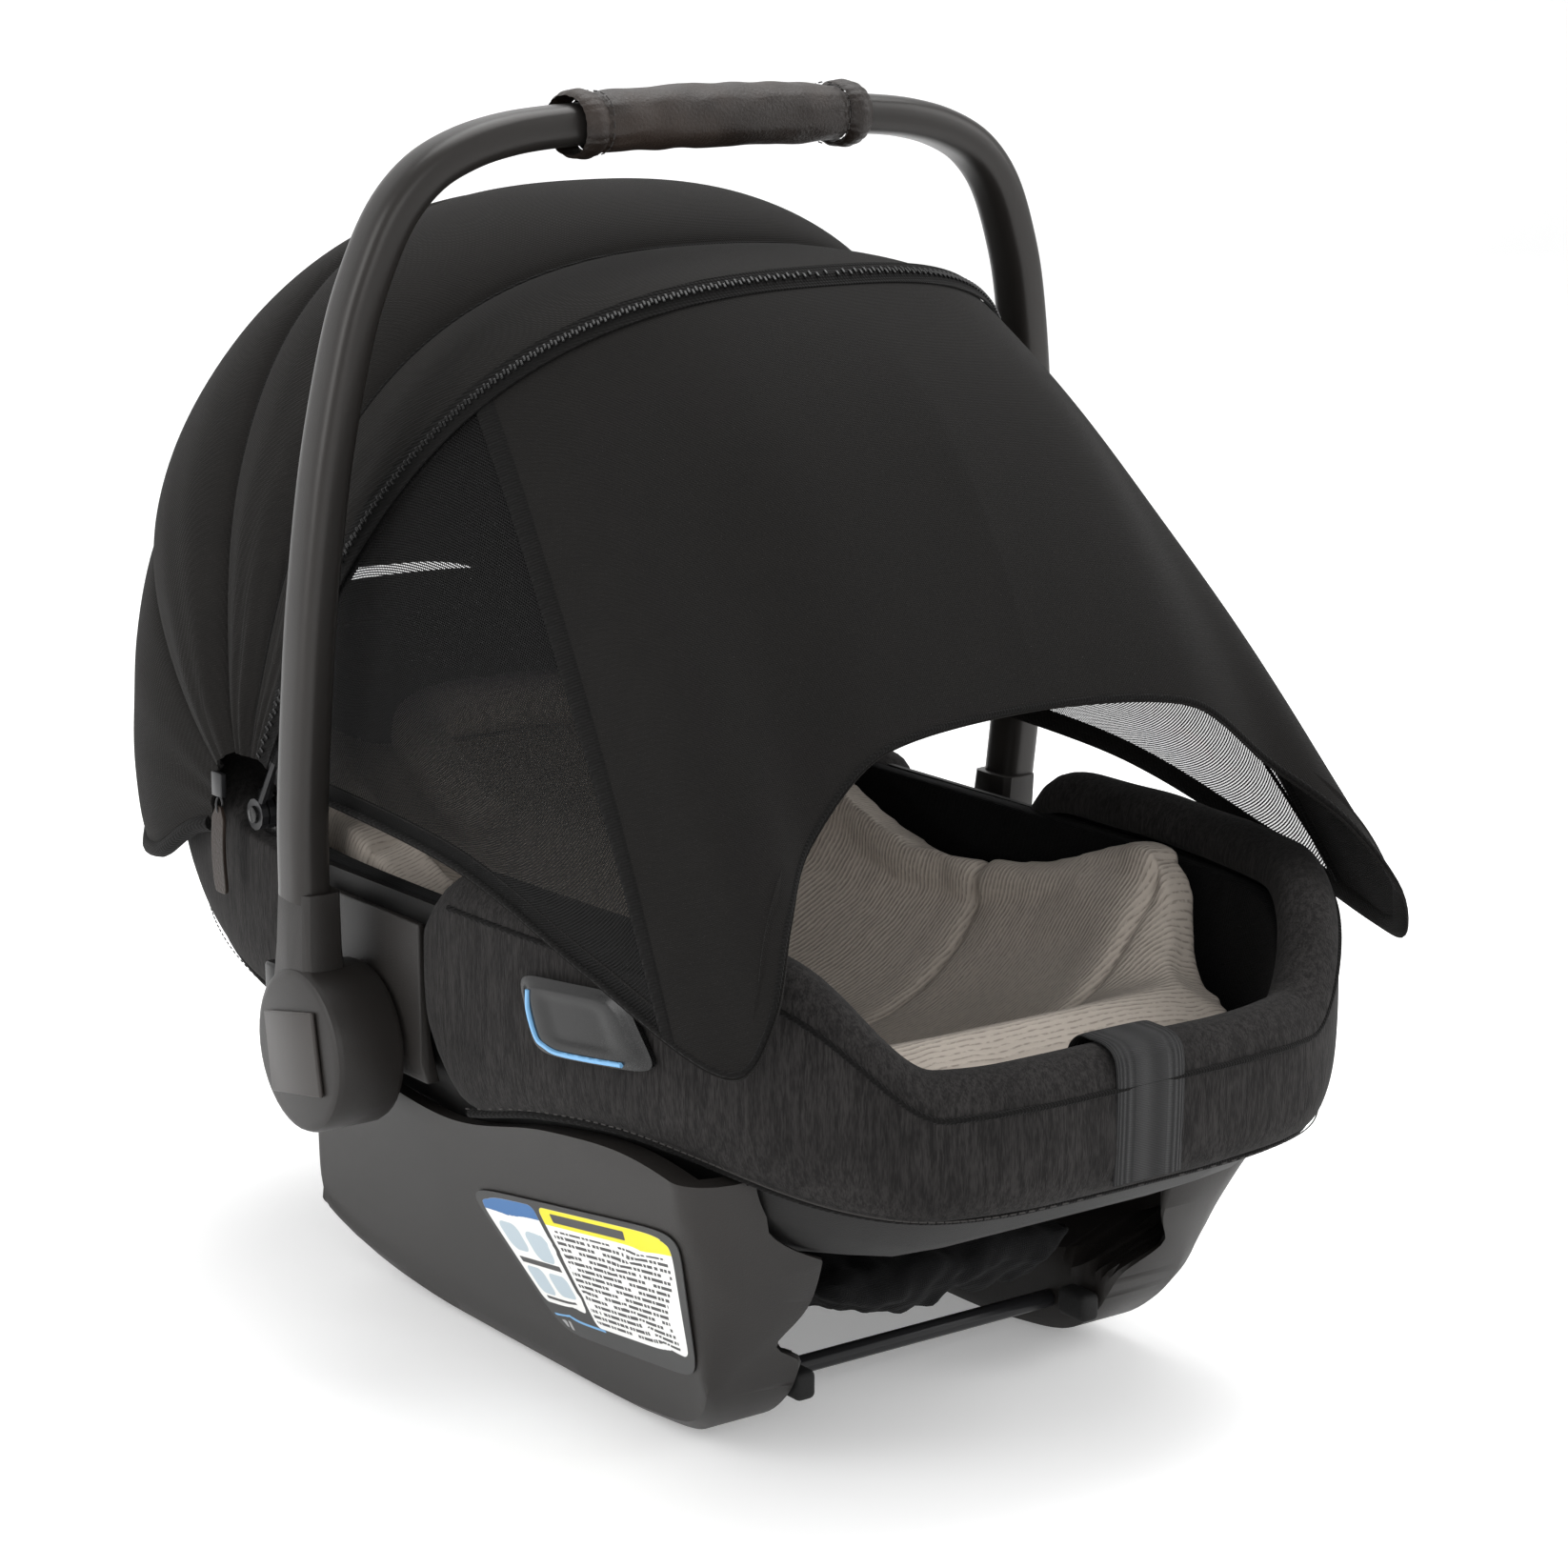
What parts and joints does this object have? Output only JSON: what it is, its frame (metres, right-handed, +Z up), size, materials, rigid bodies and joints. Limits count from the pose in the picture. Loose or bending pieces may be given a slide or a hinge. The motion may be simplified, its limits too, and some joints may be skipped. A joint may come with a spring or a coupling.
{
  "type": "infant car seat",
  "caption": "Rear-facing infant car seat with a rocker base, folding carry handle, folding bow canopy with a front drape, padded cover and harness.",
  "frame": {"origin": "centre of the footprint's bounding box, on the ground that the rocker stands on", "axes": "+Z up; -Y towards the foot end, +Y towards the head end; +X across, to the left hand of a child in the seat"},
  "size_m": [0.443, 0.676, 0.5915],
  "materials": {
    "shell_plastic": "matte",
    "trim_plastic": "satin",
    "hub_plate": "satin",
    "handle_tube": "satin",
    "grip_leather": "satin",
    "cover_fabric": "matte",
    "liner_fabric": "matte",
    "insert_fabric": "matte",
    "canopy_fabric": "matte",
    "webbing": "satin",
    "dark_steel": "satin",
    "rubber": "matte",
    "label": "satin",
    "button_red": "satin"
  },
  "bodies": {
    "seat": {"shell": "shell_plastic", "liner": "liner_fabric", "seat_cover_front": "cover_fabric", "seat_cover_head": "cover_fabric", "rim_pad_front": "cover_fabric", "rim_pad_head": "cover_fabric", "infant_insert": "insert_fabric", "head_support": "insert_fabric", "rocker_left": "shell_plastic", "rocker_right": "shell_plastic", "hub_mount_left": "trim_plastic", "hub_mount_right": "trim_plastic", "latch_bar_front": "dark_steel", "latch_bar_rear": "dark_steel", "bumper_left": "rubber", "bumper_right": "rubber", "strap_pocket": "liner_fabric", "pivot_boss_left": "dark_steel", "pivot_boss_right": "dark_steel", "lock_ring_left": "dark_steel", "lock_ring_right": "dark_steel", "lock_spring_left": "dark_steel", "lock_spring_right": "dark_steel", "canopy_mount_left": "trim_plastic", "canopy_mount_right": "trim_plastic", "belt_guide_left": "trim_plastic", "belt_guide_right": "trim_plastic", "label_left": "label", "label_right": "label", "crotch_strap": "webbing", "buckle_body": "trim_plastic", "shoulder_strap_left": "webbing", "shoulder_strap_right": "webbing", "adjuster_strap": "webbing", "lever_bracket_left": "shell_plastic", "lever_bracket_right": "shell_plastic", "zip_slider": "dark_steel"},
    "handle": {"handle_tube": "handle_tube", "handle_grip": "grip_leather", "grip_cuff_left": "grip_leather", "grip_cuff_right": "grip_leather", "hub_left": "shell_plastic", "hub_right": "shell_plastic", "hub_plate_left": "hub_plate", "hub_plate_right": "hub_plate"},
    "button_left": {"handle_button_left": "trim_plastic"},
    "button_right": {"handle_button_right": "trim_plastic"},
    "canopy_rear": {"canopy_bow_rear": "dark_steel", "canopy_panel_rear": "canopy_fabric"},
    "canopy_middle": {"canopy_bow_middle": "dark_steel", "canopy_panel_middle": "canopy_fabric"},
    "canopy_crown": {"canopy_bow_crown": "dark_steel", "canopy_panel_crown": "canopy_fabric"},
    "canopy_front": {"canopy_bow_front": "dark_steel", "canopy_panel_front": "canopy_fabric", "drape": "canopy_fabric"},
    "buckle_release": {"buckle_button": "button_red"},
    "zip_tab": {"zip_pull": "grip_leather"},
    "base_release": {"base_release_lever": "trim_plastic"}
  },
  "joints": [
    {"name": "handle_fold", "type": "hinge", "parent": "seat", "child": "handle", "pos_m": [0, 0.008, 0.157], "axis": [-1, 0, 0], "range_deg": [0, 105]},
    {"name": "handle_button_left_press", "type": "slide", "parent": "handle", "child": "button_left", "axis": [0, -1, 0], "range_m": [0, 0.004], "stiffness_N_per_m": 400},
    {"name": "handle_button_right_press", "type": "slide", "parent": "handle", "child": "button_right", "axis": [0, -1, 0], "range_m": [0, 0.004], "stiffness_N_per_m": 400},
    {"name": "canopy_rear_fold", "type": "hinge", "parent": "seat", "child": "canopy_rear", "pos_m": [0, 0.1, 0.247], "axis": [-1, 0, 0], "range_deg": [0, 12], "deforming": ["canopy_panel_rear"]},
    {"name": "canopy_middle_fold", "type": "hinge", "parent": "canopy_rear", "child": "canopy_middle", "pos_m": [0, 0.1, 0.247], "axis": [-1, 0, 0], "range_deg": [0, 38], "deforming": ["canopy_panel_middle"]},
    {"name": "canopy_crown_fold", "type": "hinge", "parent": "canopy_middle", "child": "canopy_crown", "pos_m": [0, 0.1, 0.247], "axis": [-1, 0, 0], "range_deg": [0, 21], "deforming": ["canopy_panel_crown"]},
    {"name": "canopy_front_fold", "type": "hinge", "parent": "canopy_crown", "child": "canopy_front", "pos_m": [0, 0.1, 0.247], "axis": [-1, 0, 0], "range_deg": [0, 12], "deforming": ["canopy_panel_front", "drape"]},
    {"name": "buckle_press", "type": "slide", "parent": "seat", "child": "buckle_release", "axis": [0, 0, -1], "range_m": [0, 0.003], "stiffness_N_per_m": 400},
    {"name": "zip_pull_swing", "type": "hinge", "parent": "seat", "child": "zip_tab", "pos_m": [-0.1951, 0.121, 0.25], "axis": [1, 0, 0], "range_deg": [-40, 40]},
    {"name": "base_release_pull", "type": "slide", "parent": "seat", "child": "base_release", "axis": [0, 0, 1], "range_m": [0, 0.008], "stiffness_N_per_m": 500}
  ],
  "couplings": [
    {"joint": "canopy_rear_fold", "follows": "canopy_middle_fold", "ratio": 0.31578},
    {"joint": "canopy_crown_fold", "follows": "canopy_middle_fold", "ratio": 0.55263},
    {"joint": "canopy_front_fold", "follows": "canopy_middle_fold", "ratio": 0.31578}
  ]
}
